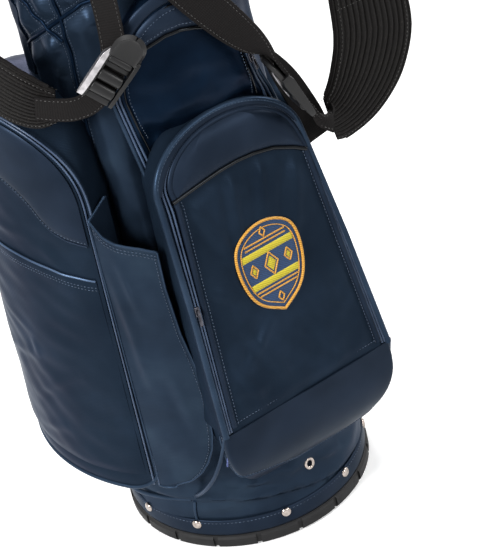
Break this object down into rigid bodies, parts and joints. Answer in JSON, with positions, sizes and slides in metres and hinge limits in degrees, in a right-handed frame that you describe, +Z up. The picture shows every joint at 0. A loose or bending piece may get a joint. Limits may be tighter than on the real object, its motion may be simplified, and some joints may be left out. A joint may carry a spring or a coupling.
{
  "type": "golf staff bag",
  "caption": "Soft golf staff bag with rubber boot, zipped ball and side pockets, umbrella sleeve, divided top, lift handles and a padded double strap.",
  "frame": {"origin": "centre of the base on the floor it stands on", "axes": "+Z up along the bag, the ball pocket faces -Y, +X to the right of the ball pocket as seen from in front"},
  "size_m": [0.401, 0.3564, 0.872],
  "materials": {
    "boot_rubber": "moulded, matt",
    "black_plastic": "fine moulded grain",
    "liner_plastic": "smooth",
    "steel_screws": "zinc plated",
    "bar_metal": "brushed along its length",
    "nickel": "worn nickel plate",
    "navy_nylon": "coated woven nylon, low sheen",
    "navy_leatherette": "smooth synthetic leather",
    "zip_tape": "coil zip and tape",
    "black_piping": "polished edge paint",
    "black_webbing": "woven polyester webbing",
    "pad_fabric": "ribbed padded mesh",
    "divider_cloth": "brushed cloth over board",
    "stay_rod": "plain drawn rod",
    "badge_cloth": "embroidered twill"
  },
  "bodies": {
    "bag": {"rubber_base": "boot_rubber", "base_cup": "black_plastic", "base_screws": "steel_screws", "base_trim_band": "navy_leatherette", "base_rivets": "nickel", "drain_eyelet": "nickel", "liner_tube": "liner_plastic", "liner_skirt": "liner_plastic", "body_skin": "navy_nylon", "bottom_welt": "navy_nylon", "stay_rods": "stay_rod", "divider_sheets": "divider_cloth", "top_collar": "black_plastic", "club_divider": "black_plastic", "rim_cuff": "navy_leatherette", "lift_handle": "black_plastic", "lift_handle_grip": "boot_rubber", "handle_screws": "steel_screws", "trunk_handle": "navy_leatherette", "towel_ring_bracket": "black_plastic", "ball_pocket_gusset": "navy_nylon", "ball_pocket_flap": "navy_leatherette", "ball_pocket_zip": "zip_tape", "upper_pocket": "navy_nylon", "upper_pocket_cap": "navy_leatherette", "upper_pocket_zip": "zip_tape", "left_pocket_gusset": "navy_nylon", "left_pocket_zip": "zip_tape", "right_pocket_gusset": "navy_nylon", "right_pocket_zip": "zip_tape", "umbrella_sleeve": "navy_nylon", "strap_yoke": "navy_leatherette", "left_webbing": "black_webbing", "left_shoulder_pad": "pad_fabric", "left_adjuster": "black_plastic", "right_webbing": "black_webbing", "right_shoulder_pad": "pad_fabric", "right_adjuster": "black_plastic", "adjuster_bars": "bar_metal"},
    "ball_cover": {"ball_pocket_cover": "navy_nylon", "ball_pocket_cap": "navy_leatherette", "ball_pocket_piping": "black_piping", "badge": "badge_cloth"},
    "ball_slider": {"ball_zip_slider": "nickel"},
    "ball_pull": {"ball_zip_pull": "nickel"},
    "upper_slider": {"upper_zip_slider": "nickel"},
    "upper_pull": {"upper_zip_pull": "nickel"},
    "left_cover": {"left_pocket_cover": "navy_nylon", "left_pocket_cap": "navy_leatherette", "left_patch_pocket": "navy_nylon"},
    "left_slider": {"left_zip_slider": "nickel"},
    "left_pull": {"left_zip_pull": "nickel"},
    "right_cover": {"right_pocket_cover": "navy_nylon", "right_pocket_cap": "navy_leatherette"},
    "right_slider": {"right_zip_slider": "nickel"},
    "right_pull": {"right_zip_pull": "nickel"},
    "left_lever": {"left_adjuster_lever": "black_plastic"},
    "right_lever": {"right_adjuster_lever": "black_plastic"},
    "towel_ring": {"towel_ring": "nickel"}
  },
  "joints": [
    {"name": "ball_pocket_hinge", "type": "hinge", "parent": "bag", "child": "ball_cover", "pos_m": [0, -0.18, 0.205], "axis": [1, 0, 0], "range_deg": [0, 88]},
    {"name": "ball_zip_slide", "type": "slide", "parent": "bag", "child": "ball_slider", "axis": [0.0718, 0.1681, 0.9832], "range_m": [-0.11, 0.1]},
    {"name": "ball_pull_hinge", "type": "hinge", "parent": "ball_slider", "child": "ball_pull", "pos_m": [-0.08685, -0.16314, 0.33806], "axis": [-0.9974, 0.0121, 0.0708], "range_deg": [0, 150]},
    {"name": "upper_zip_slide", "type": "slide", "parent": "bag", "child": "upper_slider", "axis": [0.1431, 0.0525, 0.9883], "range_m": [-0.012, 0]},
    {"name": "upper_pull_hinge", "type": "hinge", "parent": "upper_slider", "child": "upper_pull", "pos_m": [0.04819, -0.13123, 0.54], "axis": [-0.9277, -0.3407, 0.1524], "range_deg": [0, 35]},
    {"name": "left_pocket_hinge", "type": "hinge", "parent": "bag", "child": "left_cover", "pos_m": [-0.19195, 0.04432, 0.126], "axis": [-0.225, -0.9744, 0], "range_deg": [0, 60]},
    {"name": "left_zip_slide", "type": "slide", "parent": "bag", "child": "left_slider", "axis": [0.0255, -0.0059, 0.9997], "range_m": [-0.2, 0.05]},
    {"name": "left_pull_hinge", "type": "hinge", "parent": "left_slider", "child": "left_pull", "pos_m": [-0.15517, 0.15065, 0.37577], "axis": [0.5293, 0.8484, -0.0085], "range_deg": [0, 150]},
    {"name": "right_pocket_hinge", "type": "hinge", "parent": "bag", "child": "right_cover", "pos_m": [0.14575, 0.0257, 0.126], "axis": [-0.1736, 0.9848, 0], "range_deg": [0, 60]},
    {"name": "right_zip_slide", "type": "slide", "parent": "bag", "child": "right_slider", "axis": [-0.0258, -0.0045, 0.9997], "range_m": [-0.15, 0.04]},
    {"name": "right_pull_hinge", "type": "hinge", "parent": "right_slider", "child": "right_pull", "pos_m": [0.13612, -0.03753, 0.32553], "axis": [-0.4736, -0.8806, -0.0162], "range_deg": [0, 150]},
    {"name": "left_lever_hinge", "type": "hinge", "parent": "bag", "child": "left_lever", "pos_m": [-0.08507, -0.13425, 0.60166], "axis": [0.5763, -0.4505, -0.6818], "range_deg": [0, 60]},
    {"name": "right_lever_hinge", "type": "hinge", "parent": "bag", "child": "right_lever", "pos_m": [0.05037, -0.15891, 0.52715], "axis": [-0.1611, -0.9846, -0.0683], "range_deg": [0, 60]},
    {"name": "towel_ring_hinge", "type": "hinge", "parent": "bag", "child": "towel_ring", "pos_m": [-0.119, 0, 0.772], "axis": [0, 1, 0], "range_deg": [0, 85]}
  ]
}
